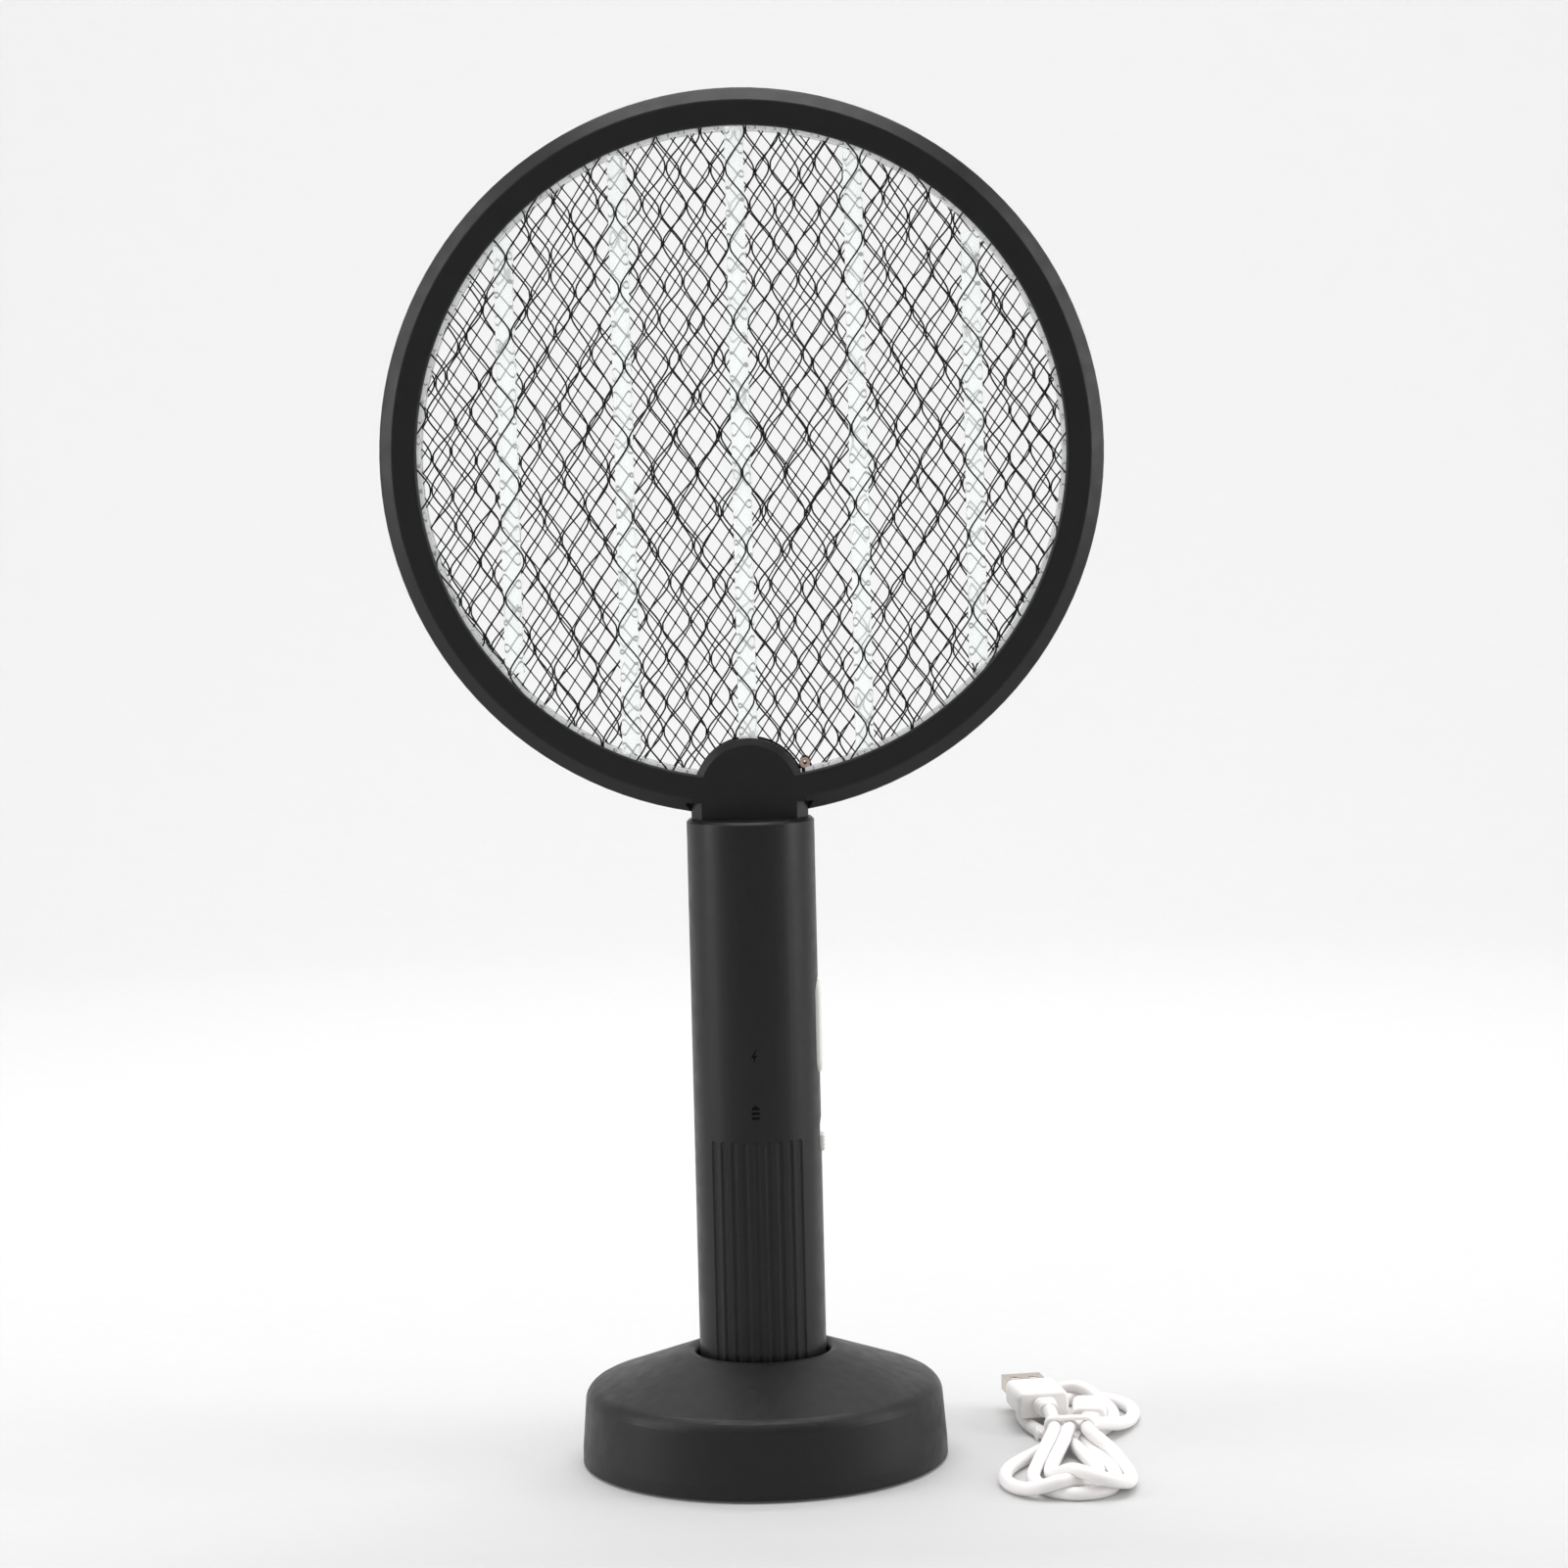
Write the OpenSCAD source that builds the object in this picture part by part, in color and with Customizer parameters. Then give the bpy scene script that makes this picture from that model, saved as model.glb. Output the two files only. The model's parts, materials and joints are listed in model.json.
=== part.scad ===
// Electric fly swatter with a round stand and a loose charging cable.
// Millimetres, +Z up. Origin: centre of the stand's underside, on the floor.
// The net faces -Y, and the button and the switch are on the +X side.

/* [Head] */
// Outer diameter of the head ring
head_d = 210; // [180:1:252]
// Radial width of the head ring
ring_w = 11; // [10:0.5:13]
// Thickness of the closed head, front to back
head_t = 14; // [13:0.5:17]
// Gap between the handle's top and the ring's lowest edge
ring_gap = 1; // [0.5:0.5:4]
// Front wall of each head frame
flange_t = 2.4; // [1.8:0.1:2.6]
// Outer wall of each head frame
ring_wall = 3; // [2.4:0.1:3.2]
// Bevel on the ring's outer edge
ring_bevel = 4.2; // [2:0.1:4.5]
// Radius of the hub cover at the foot of the nets
hub_r = 16.3; // [13:0.1:18]
// Height of the hub's centre above the ring's lowest edge
hub_rise = 6.3; // [5:0.1:8]
// Bevel around the hub cover
hub_bevel = 2; // [1:0.1:2.2]
// Width of the neck
neck_w = 34; // [30:0.5:34]
// Size of the bevels on the neck's front edges
neck_bevel = 4.4; // [2:0.1:4.6]
// Number of screws around the ring
ring_screws = 8; // [6:1:10]

/* [Nets] */
// Thickness of the coarse nets
net_t = 0.5; // [0.4:0.1:0.8]
// Thickness of the middle net
hv_t = 0.4; // [0.3:0.1:0.6]
// Width of a coarse cell
cell_w = 12.9; // [11:0.1:16]
// Height of a coarse cell
cell_h = 21.8; // [18:0.1:26]
// Width of a coarse strand
strand = 0.5; // [0.4:0.1:0.8]
// Length of the bond where two strands meet
bond = 2.3; // [1.5:0.1:3]
// Number of vertical spacer bars
bars = 5; // [3:2:5]
// Distance between spacer bars
bar_pitch = 34; // [30:0.5:35]
// Width of a spacer bar
bar_w = 5.4; // [4:0.1:7]

/* [Handle] */
// Outer diameter of the handle tube
handle_d = 37.4; // [37.2:0.1:45]
// Wall of the handle tube
handle_wall = 2.2; // [1.8:0.1:2.2]
// Height of the handle's top above the floor
handle_top = 190; // [186:1:230]
// Floor of the stand's socket, where the handle rests
handle_foot = 5.5; // [5:0.1:8]
// How far the neck reaches into the handle
neck_in = 22; // [18:1:26]
// Height of the flutes' rounded tops
flute_top = 96; // [80:1:110]
// Number of flutes
flutes = 9; // [5:2:11]
// Angle between flutes
flute_step = 10.5; // [9:0.5:12]
// Radius of a flute's round bottom
flute_r = 1.2; // [1:0.1:1.5]
// Depth of a flute
flute_depth = 0.5; // [0.3:0.1:0.7]

/* [Controls] */
// Middle height of the push button
button_z = 128.2; // [126:0.1:135]
// Length of the push button
button_l = 27.5; // [22:0.5:29]
// Width of the push button
button_w = 9; // [7:0.5:10]
// Travel of the push button
button_travel = 1; // [0.6:0.1:1.2]
// Middle height of the slide switch's knob in its off position
switch_z = 93.8; // [93:0.1:95]
// Length of the slide switch's knob
knob_l = 5; // [4:0.5:5.5]
// Travel of the slide switch's knob
knob_travel = 4; // [3:0.5:4.5]
// Clearance around the push button and the knob
slot_gap = 0.35; // [0.3:0.05:0.5]
// Height of the bolt window's middle
bolt_z = 121.9; // [118:0.1:126]
// Height of the battery window's middle
gauge_z = 105.6; // [103:0.1:109]

/* [Electronics] */
// Diameter of the lithium cell
cell_d = 18.4; // [18:0.1:18.6]
// Length of the lithium cell
cell_l = 65; // [64:0.5:66]
// Height of the lithium cell's foot above the floor
cell_foot = 12; // [11:0.5:14]
// Width of the main circuit board
board_w = 23; // [20:0.5:24]
// Thickness of the main circuit board
board_t = 1.6; // [1:0.1:1.8]
// Height of the main circuit board's lower edge
board_z0 = 84; // [83:1:86]
// Height of the main circuit board's upper edge
board_z1 = 155; // [150:1:156]
// Height of the charging socket's middle
usb_z = 84; // [82:1:90]

/* [Stand] */
// Diameter of the stand at the floor
stand_d = 108; // [104:1:130]
// Height of the stand's shoulder
shoulder_z = 21; // [18:0.5:24]
// Height of the stand's rim
rim_z = 33; // [31:0.5:38]
// Inward draft of the stand's side wall
stand_draft = 1.2; // [0.5:0.1:2]
// Rounding of the shoulder
shoulder_r = 5; // [2:0.5:6]
// Wall of the stand
stand_wall = 2.4; // [2:0.1:3]
// Gap between the handle and the socket at its mouth
socket_gap = 0.8; // [0.6:0.1:1.2]
// Height of the feet below the stand's lower edge
foot_h = 0.8; // [0.6:0.1:1.2]

/* [Cable] */
// Distance from the stand's centre to the cable tie, to the side
cable_x = 90; // [88:1:110]
// Diameter of the cable
cable_d = 4; // [3.5:0.1:4.2]

/* [Hidden] */
eps = 0.01;
fit = 0.3;                          // general clearance between separate pieces
head_r = head_d / 2;
open_r = head_r - ring_w;           // inner edge of the black ring
half_t = head_t / 2;
head_z = handle_top + ring_gap + head_r;    // height of the head's centre
hub_z = head_z - head_r + hub_rise;
wall_r = head_r - ring_wall;        // inside of the ring's outer wall
post_r = 2.15;                      // screw post in the ring
post_ring = wall_r - post_r - 0.2;  // radius on which the ring's posts stand
net_r = post_ring - post_r - 0.15;  // outer edge of nets and spacers
net_y = half_t - flange_t;          // outer face of the coarse nets
spacer_t = net_y - net_t - hv_t / 2;
spacer_in = open_r - 1;             // clear rim shows inside the black ring
handle_r = handle_d / 2;
bore_r = handle_r - handle_wall;
neck_z0 = handle_top - neck_in;
top_wall = 2.4;                     // closed ends of the handle
// width of the neck's tang, the part inside the handle
tang_w = min(neck_w - 2, 2 * sqrt(pow(bore_r - fit, 2) - pow(half_t, 2)));
notch_w = 15;                       // half width of the spacers' notch behind the hub
board_y = -5;                       // rear face of the main board
front_y = board_y - board_t;        // front face of the main board
board_hole_x = board_w / 2 - 2.5;
socket_y = handle_r - 6.6;          // rear face of the charging socket's small board
flute_len = flute_top - handle_foot - 8;
socket_r = handle_r + 0.4;          // socket bore, a loose slip fit
mouth_r = handle_r + socket_gap;
stand_r = stand_d / 2;
plate_z0 = foot_h + 0.4;
plate_t = 2;
boss_z0 = plate_z0 + plate_t;
stand_boss = stand_r - 11;          // radius of the stand's screw circle
boss_r = 3.2;
stand_top_r = stand_r - stand_draft;
stand_rim_r = mouth_r + 4.6;
handle_screw_x = bore_r - 4.5;
handle_screw_z = [26, neck_z0 - 7];
knob_mid = switch_z + knob_travel / 2;
lead_x = 4;                         // lead that runs up beside the cell
lead_y = cell_d / 2 + 4;
tie_t = 1;                          // wall of the cable tie
tie_w = 3;
lobe_h = cable_d + 0.2;             // one layer of cable

// ---------- shared shapes ----------

function ring_point(r, a) = [r * cos(a), r * sin(a)];

// turns an outline drawn in X and Z so that it is t thick from y to y + t
module upright(y, t) {
    translate([0, y + t, 0]) rotate([90, 0, 0]) linear_extrude(t) children();
}

// cylinder along Y from y to y + len
module along_y(r, y, len, fn = 32) {
    translate([0, y + len, 0]) rotate([90, 0, 0]) cylinder(r = r, h = len, $fn = fn);
}

// cylinder along X from x to x + len
module along_x(r, x, len, fn = 32) {
    translate([x, 0, 0]) rotate([0, 90, 0]) cylinder(r = r, h = len, $fn = fn);
}

// box from one corner to the other
module span(a, b) {
    translate(a) cube([b[0] - a[0], b[1] - a[1], b[2] - a[2]]);
}

// lead of eight sides swept through its points
module lead(pts, r) {
    sides = 8;
    last = len(pts) - 1;
    function unit(v) = v / norm(v);
    function along(i) = unit(
        unit(pts[min(i + 1, last)] - pts[i == last ? last - 1 : i]) +
        unit(pts[i == 0 ? 1 : i] - pts[max(i - 1, 0)]));
    rings = [for (i = [0 : last]) let (
            d = along(i),
            u = unit(cross(d, [0.3, 1, 0.1])),
            v = cross(d, u))
        for (k = [0 : sides - 1]) pts[i] + r * (u * cos(k * 45) + v * sin(k * 45))];
    walls = [for (i = [0 : last - 1]) for (k = [0 : sides - 1]) let (n = (k + 1) % sides)
        [i * sides + k, i * sides + n, (i + 1) * sides + n, (i + 1) * sides + k]];
    ends = [[for (k = [sides - 1 : -1 : 0]) k], [for (k = [0 : sides - 1]) last * sides + k]];
    polyhedron(rings, concat(walls, ends), convexity = 4);
}

// slot outline with round ends, long in Y
module slot2d(l, w, fn = 32) {
    square([w, l - w], center = true);
    for (s = [-1, 1]) translate([0, s * (l - w) / 2]) circle(w / 2, $fn = fn);
}

// pan-head screw pointing to -Y, with the top of its head at y
module screw_y(y, head_r, head_h, shank_r, l) {
    difference() {
        along_y(head_r, y - head_h, head_h, 24);
        translate([-head_r * 0.6, y - head_h * 0.5, -0.25]) cube([head_r * 1.2, head_h, 0.5]);
        translate([-0.25, y - head_h * 0.5, -head_r * 0.6]) cube([0.5, head_h, head_r * 1.2]);
    }
    along_y(shank_r, y - l, l - head_h + eps, 24);
}

// ---------- stand ----------

// outline of the stand's outer surface, from the floor edge to the socket's mouth
function stand_outer() = let (
        slope = atan2(rim_z - shoulder_z, stand_top_r - stand_rim_r),
        arc = [for (k = [0 : 6]) let (a = k * (90 - slope) / 6)
            [stand_top_r - shoulder_r * (1 - cos(a)), shoulder_z - shoulder_r * (0.5 - sin(a))]])
    concat([[stand_r, foot_h], [stand_r - 0.1, foot_h + 4]], arc,
        [for (k = [0 : 8]) let (a = 90 - slope + k * (180 - 90 + slope) / 8)
            [mouth_r + 2.4 + 2.4 * cos(a), rim_z - 2.4 + 2.4 * sin(a)]]);

// height of the stand's sloping top at a radius
function cone_z(r) = shoulder_z + (rim_z - shoulder_z) * (stand_top_r - r) / (stand_top_r - stand_rim_r);

module stand_shell() color([0.13, 0.13, 0.13]) {
    outer = stand_outer();
    inner_r = stand_r - stand_wall;
    top_in = stand_top_r - stand_wall;
    difference() {
        union() {
            rotate_extrude($fn = 96)
                polygon(concat(outer, [
                    [mouth_r, rim_z - 3.4], [socket_r, rim_z - 6],
                    [socket_r, handle_foot], [0, handle_foot],
                    [0, handle_foot - 2], [socket_r + 2, handle_foot - 2],
                    [socket_r + 2, rim_z - stand_wall - 2.2],
                    [mouth_r + 6, rim_z - stand_wall - 1.2],
                    [top_in - 3, shoulder_z + 0.4],
                    [top_in, shoulder_z - 3],
                    [inner_r, foot_h]]));
            // screw bosses
            for (a = [0 : 90 : 270]) rotate([0, 0, a])
                translate([stand_boss, 0, boss_z0])
                    cylinder(r = boss_r, h = cone_z(stand_boss + boss_r) - 0.7 - boss_z0, $fn = 32);
        }
        for (a = [0 : 90 : 270]) rotate([0, 0, a])
            translate([stand_boss, 0, plate_z0])
                cylinder(r = 1.25, h = 12, $fn = 32);
    }
}

module stand_base_plate() color([0.12, 0.12, 0.12]) difference() {
    translate([0, 0, plate_z0]) cylinder(r = stand_r - stand_wall - fit, h = plate_t, $fn = 96);
    for (a = [0 : 90 : 270]) rotate([0, 0, a]) {
        translate([stand_boss, 0, 0]) cylinder(r = 1.8, h = 9, $fn = 32);
        translate([stand_boss, 0, 0]) cylinder(r = 3, h = plate_z0 + 1.2, $fn = 32);
        rotate([0, 0, 45]) translate([stand_boss, 0, 0]) cylinder(r = 5.1, h = plate_z0 + 0.6, $fn = 32);
    }
    // rib grooves moulded into the underside
    for (r = [16, 30]) translate([0, 0, plate_z0 - eps])
        rotate_extrude($fn = 96) translate([r, 0]) square([1.2, 0.5]);
}

module stand_feet() color([0.2, 0.2, 0.2])
    for (a = [45 : 90 : 315]) rotate([0, 0, a]) translate([stand_boss, 0, 0]) {
        translate([0, 0, 0.4]) cylinder(r = 5, h = plate_z0 + 0.2, $fn = 48);
        cylinder(r1 = 4.6, r2 = 5, h = 0.4 + eps, $fn = 48);
    }

module stand_screws() color([0.7, 0.7, 0.72])
    for (a = [0 : 90 : 270]) rotate([0, 0, a])
        translate([stand_boss, 0, plate_z0 + 1.2]) {
            difference() {
                translate([0, 0, -1.1]) cylinder(r = 2.7, h = 1.1, $fn = 32);
                translate([-1.6, -0.25, -1.2]) cube([3.2, 0.5, 0.7]);
                translate([-0.25, -1.6, -1.2]) cube([0.5, 3.2, 0.7]);
            }
            translate([0, 0, -eps]) cylinder(r = 1.2, h = 8, $fn = 32);
        }

// ---------- head ----------

module neck_outline() {
    translate([-neck_w / 2, handle_top]) square([neck_w, hub_z - handle_top]);
    translate([-tang_w / 2, neck_z0]) square([tang_w, handle_top - neck_z0 + 1]);
}

// front wall of a head frame, on the -Y side
module frame_flange() {
    translate([0, -net_y, head_z]) rotate([90, 0, 0]) difference() {
        rotate_extrude($fn = 180) polygon(concat(
            [[open_r, 0], [open_r, flange_t - 0.5], [open_r + 0.5, flange_t]],
            [for (p = [[1, 0], [0.9, 0.03], [0.13, 0.66], [0.03, 0.75], [0, 0.85]])
                [head_r - ring_bevel * p[0], flange_t - ring_bevel * p[1]]],
            [[head_r, flange_t - ring_bevel - 0.6], [wall_r, flange_t - ring_bevel - 0.6], [wall_r, 0]]));
        // the neck's own block replaces the ring here
        translate([-neck_w / 2, -head_r - 5, -5]) cube([neck_w, hub_rise + 5, 12]);
    }
}

// half of a head frame: y from -half_t to 0
module frame_half(pilot, clear) {
    difference() {
        union() {
            frame_flange();
            // outer wall, cut away where the neck starts
            difference() {
                translate([0, 0, head_z]) rotate([90, 0, 0]) rotate_extrude($fn = 180)
                    translate([wall_r, 0]) square([ring_wall, half_t - ring_bevel + 0.3]);
                span([-neck_w / 2, -half_t, head_z - head_r - 1], [neck_w / 2, 1, hub_z]);
            }
            // hub cover with its bevel, down to the handle's top
            difference() {
                translate([0, -net_y, hub_z]) rotate([90, 0, 0]) {
                    cylinder(r = hub_r, h = flange_t - hub_bevel + 0.6, $fn = 72);
                    translate([0, 0, flange_t - hub_bevel + 0.6])
                        cylinder(r1 = hub_r, r2 = hub_r - hub_bevel, h = hub_bevel - 0.6, $fn = 72);
                }
                span([-hub_r - 1, -half_t - 1, hub_z - hub_r - 1], [hub_r + 1, 0, handle_top]);
            }
            // neck down to the handle's top, and the narrower tang inside the handle
            upright(-half_t, flange_t) neck_outline();
            for (s = [-1, 1]) mirror([s < 0 ? 1 : 0, 0, 0]) {
                span([neck_w / 2 - 2.4, -half_t, handle_top], [neck_w / 2, 0, head_z - head_r + 4.4]);
                span([tang_w / 2 - 2.4, -half_t, neck_z0], [tang_w / 2, 0, handle_top + 1]);
            }
            span([-neck_w / 2, -half_t, handle_top], [neck_w / 2, 0, handle_top + 2]);
            span([-tang_w / 2, -half_t, neck_z0], [tang_w / 2, 0, neck_z0 + 2]);
            // screw posts
            for (k = [0 : ring_screws - 1])
                translate([0, 0, head_z]) rotate([0, (k + 0.5) * 360 / ring_screws, 0])
                    translate([post_ring, 0, 0]) along_y(post_r, -net_y - eps, net_y + eps - 0.02);
            for (s = [-1, 1]) translate([s * 9, 0, handle_top - 12])
                along_y(2.8, -net_y - eps, net_y + eps - 0.02);
        }
        for (k = [0 : ring_screws - 1])
            translate([0, 0, head_z]) rotate([0, (k + 0.5) * 360 / ring_screws, 0])
                translate([post_ring, 0, 0]) {
                    along_y(pilot, clear > 0 ? -half_t - 1 : -net_y + 0.2, half_t + 2);
                    if (clear > 0) along_y(clear, -half_t - 1, 2.6);
                }
        for (s = [-1, 1]) translate([s * 9, 0, handle_top - 12]) {
            along_y(pilot, clear > 0 ? -half_t - 1 : -net_y + 0.2, half_t + 2);
            if (clear > 0) along_y(clear + 0.3, -half_t - 1, 2.6);
        }
        // passages for the leads down the neck
        span([-3.4, -net_y + 0.1, neck_z0 - 1], [3.4, 0.1, neck_z0 + 3]);
        span([-5, -net_y + 0.1, handle_top - 1], [5, 0.1, handle_top + 3]);
        // bevelled front edges of the neck
        for (s = [-1, 1])
            translate([s * neck_w / 2, -half_t, handle_top]) rotate([0, 0, 45])
                cube([neck_bevel, neck_bevel, 2 * (head_z - head_r + 4 - handle_top)], center = true);
    }
}

module head_frame_front() color([0.12, 0.12, 0.12]) frame_half(0.85, 0);

module head_frame_rear() color([0.12, 0.12, 0.12]) mirror([0, 1, 0]) frame_half(1.1, 2.2);

// centres of the cells of a net
function cell_centres(w, h, reach) = [
    for (j = [-ceil(2 * reach / h) : ceil(2 * reach / h)])
        for (i = [-ceil(reach / w) : ceil(reach / w)])
            let (c = [(i + (j % 2 == 0 ? 0.5 : 0)) * w, j * h / 2])
                if (norm(c) < reach + 1) c];

// outline of one cell opening: a hexagon with short upright sides
function cell_shape(w, h, b, s) = let (
        half = w / 2 - s,
        up = b / 2,
        tip = h / 2 - b / 2 - s)
    [[half, -up], [half, up], [0, tip], [-half, up], [-half, -up], [0, -tip]];

function pull_in(p, r) = norm(p) > r ? p * r / norm(p) : p;

// round net with a solid rim, lying in X and Z around the origin
module net(w, h, b, s, t, rim) {
    centres = cell_centres(w, h, rim);
    shape = cell_shape(w, h, b, s);
    sides = 120;
    corners = len(shape);
    outer = [for (k = [0 : sides - 1]) ring_point(net_r, k * 360 / sides)];
    cells = [for (c = centres) for (p = shape) pull_in(c + p, rim)];
    rotate([90, 0, 0]) linear_extrude(t, center = true) polygon(
        concat(outer, cells),
        concat([[for (k = [0 : sides - 1]) k]],
            [for (q = [0 : len(centres) - 1]) [for (k = [0 : corners - 1]) sides + corners * q + k]]));
}

module net_front() color([0.1, 0.1, 0.1])
    translate([0, -net_y + net_t / 2, head_z]) rotate([0, -1.9, 0])
        net(cell_w, cell_h, bond, strand, net_t, open_r - 0.6);

module net_middle() color([0.12, 0.1, 0.09])
    translate([0, 0, head_z]) rotate([0, -3, 0])
        net(cell_w * 1.1, cell_h, 0.8, strand, hv_t, open_r - 0.6);

module net_rear() color([0.1, 0.1, 0.1])
    translate([0, net_y - net_t / 2, head_z]) rotate([0, 4, 0])
        net(cell_w, cell_h, bond, strand, net_t, open_r - 0.6);

// clear ring with upright bars, y from y0 to y0 + spacer_t
module spacer(y0) {
    upright(y0, spacer_t) translate([0, head_z]) difference() {
        circle(net_r, $fn = 144);
        circle(spacer_in, $fn = 144);
        // the leads pass here, behind the hub cover
        translate([-notch_w, -head_r]) square([2 * notch_w, ring_w + 6]);
    }
    upright(y0 + 0.3, spacer_t - 0.6) translate([0, head_z])
        for (k = [-(bars - 1) / 2 : (bars - 1) / 2]) {
            reach = sqrt(pow(spacer_in + 1, 2) - pow(abs(k) * bar_pitch + bar_w / 2, 2));
            translate([k * bar_pitch - bar_w / 2, -reach]) square([bar_w, 2 * reach]);
        }
}

module spacer_front() color([0.9, 0.92, 0.92, 0.6]) spacer(-net_y + net_t);

module spacer_rear() color([0.9, 0.92, 0.92, 0.6]) spacer(hv_t / 2);

module head_screws() color([0.25, 0.25, 0.26])
    for (k = [0 : ring_screws - 1])
        translate([0, 0, head_z]) rotate([0, (k + 0.5) * 360 / ring_screws, 0])
            translate([post_ring, 0, 0]) screw_y(half_t - 0.3, 1.9, 1.2, 0.82, 10);

module neck_screws() color([0.25, 0.25, 0.26])
    for (s = [-1, 1]) translate([s * 9, 0, handle_top - 12]) screw_y(half_t - 0.3, 2.2, 1.2, 0.82, 10);

// where the leads meet the nets: beside the hub cover for the coarse nets, behind it for the middle net
terminal_z = hub_z + 8.8;
terminal_x = hub_r + 0.1;
hidden_x = hub_r - 5.3;
lead_r = 0.6;

module eyelet(y, t) {
    difference() {
        union() {
            along_y(1.5, y, t, 32);
            along_y(1.0, y - 0.5, t + 1, 32);
        }
        along_y(0.6, y - 1, t + 2, 32);
    }
}

module net_terminals() color([0.75, 0.62, 0.55]) {
    translate([terminal_x, 0, terminal_z]) eyelet(-net_y - 0.45, 0.4);
    translate([-hidden_x, 0, terminal_z]) eyelet(-hv_t / 2 - 0.45, 0.4);
    translate([terminal_x, 0, terminal_z]) eyelet(net_y + 0.05, 0.4);
}

// leads run from the nets behind the hub, down the neck and to the board's top
module net_leads() color([0.6, 0.1, 0.1]) {
    low = neck_z0 - 4;
    end_z = board_z1 - 4;
    end_y = board_y + lead_r + eps;
    coarse_y = net_y - net_t - lead_r - 0.02;   // just inside a coarse net
    lead([[terminal_x - 0.4, -coarse_y, terminal_z - 0.4], [terminal_x - 2.2, -net_y + 1.5, terminal_z - 2],
        [3.4, -3.4, hub_z - 6], [1.6, -2.4, neck_z0 + 8], [1.6, -2.4, low], [6, end_y, end_z]], lead_r);
    lead([[-hidden_x, -hv_t / 2 - 0.97 - lead_r, terminal_z - 0.4], [1 - hidden_x, -1.8, terminal_z - 3],
        [-3.4, -2.4, hub_z - 6], [-1.6, -2.4, neck_z0 + 8], [-1.6, -2.4, low], [-6, end_y, end_z]], lead_r);
    lead([[terminal_x - 0.4, coarse_y, terminal_z - 0.4], [terminal_x - 2.2, net_y - 1.5, terminal_z - 2],
        [3.4, 1.2, hub_z - 6], [0, -0.6, neck_z0 + 8], [0, -0.6, low], [0, end_y, end_z]], lead_r);
}

// ---------- handle ----------

module tube_half(front) {
    intersection() {
        difference() {
            union() {
                translate([0, 0, handle_foot]) cylinder(r = handle_r - 0.8, h = 0.8 + eps, $fn = 96);
                translate([0, 0, handle_foot + 0.8])
                    cylinder(r = handle_r, h = handle_top - handle_foot - 1.6, $fn = 96);
                translate([0, 0, handle_top - 0.8 - eps])
                    cylinder(r1 = handle_r, r2 = handle_r - 0.8, h = 0.8 + eps, $fn = 96);
            }
            translate([0, 0, handle_foot + top_wall])
                cylinder(r = bore_r, h = handle_top - handle_foot - 2 * top_wall, $fn = 96);
            // neck opening in the top
            translate([0, 0, handle_top - 5])
                linear_extrude(10) square([tang_w + 0.2, head_t + 0.2], center = true);
        }
        span([-handle_r - 1, front ? -handle_r - 1 : 0, 0],
            [handle_r + 1, front ? -0.02 : handle_r + 1, handle_top + 1]);
    }
}

// half ribs that hold the cell
module cell_ribs(front) {
    for (z = [cell_foot + 8, cell_foot + cell_l / 2, cell_foot + cell_l - 8])
        translate([0, 0, z]) intersection() {
            difference() {
                cylinder(r = bore_r + 0.2, h = 1.6, $fn = 96);
                translate([0, 0, -1]) cylinder(r = cell_d / 2 + 0.1, h = 4, $fn = 96);
                // passage for the lead from the cell's foot
                translate([lead_x, lead_y, -1]) cylinder(r = 1.2, h = 4, $fn = 32);
            }
            span([-handle_r, front ? -handle_r : 0.02, 0], [handle_r, front ? -0.02 : handle_r, 2]);
        }
}

// supports moulded inside a shell: the cell's foot rest and the ribs against the neck's tang
module inner_rests(front) {
    side = front ? -1 : 1;
    intersection() {
        union() {
            translate([0, 0, handle_foot + top_wall - eps])
                cylinder(r = 5, h = cell_foot - 0.3 - handle_foot - top_wall + eps, $fn = 48);
            mirror([0, front ? 0 : 1, 0])
                span([-12, -handle_r, neck_z0 + 3], [12, -half_t, neck_z0 + 4.6]);
            if (front) board_rests();
            else socket_rests();
        }
        translate([0, 0, handle_foot]) cylinder(r = bore_r + 0.3, h = handle_top - handle_foot, $fn = 96);
        translate([-handle_r, side * (handle_r / 2 + 0.02) - handle_r / 2, 0])
            cube([2 * handle_r, handle_r, handle_top]);
    }
}

// shouldered pins for the main board's four holes
module board_rests()
    for (x = [-1, 1]) for (z = [board_z0 + 3, board_z1 - 3]) translate([x * board_hole_x, 0, z]) {
        along_y(2.2, -handle_r, handle_r + front_y);
        along_y(1.1, -handle_r, handle_r + board_y + 0.4);
    }

// stubs behind the small board of the charging socket
module socket_rests()
    for (x = [-5.6, 5.6]) for (z = [-4, 4]) translate([x, 0, usb_z + z])
        along_y(1.2, socket_y, handle_r - socket_y);

module handle_bosses(front) {
    for (z = handle_screw_z) for (s = [-1, 1]) translate([s * handle_screw_x, 0, z])
        along_y(2.6, front ? -11.2 : 0.02, 11.18, 32);
}

// pocket on the right side for the push button and for the switch knob
module control_cuts() {
    translate([handle_r - 1.2, 0, button_z]) rotate([90, 0, 90])
        linear_extrude(5) slot2d(button_l + 2, button_w + 2);
    translate([bore_r - 2, 0, button_z]) rotate([90, 0, 90])
        linear_extrude(8) slot2d(button_l + 2 * slot_gap, button_w + 2 * slot_gap);
    translate([handle_r - 1.2, 0, knob_mid]) rotate([90, 0, 90])
        linear_extrude(5) slot2d(knob_l + knob_travel + 2.5, 8);
    translate([bore_r - 2, 0, knob_mid]) rotate([90, 0, 90])
        linear_extrude(8) square([3 + 2 * slot_gap, 3 + knob_travel + 2 * slot_gap], center = true);
}

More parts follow.
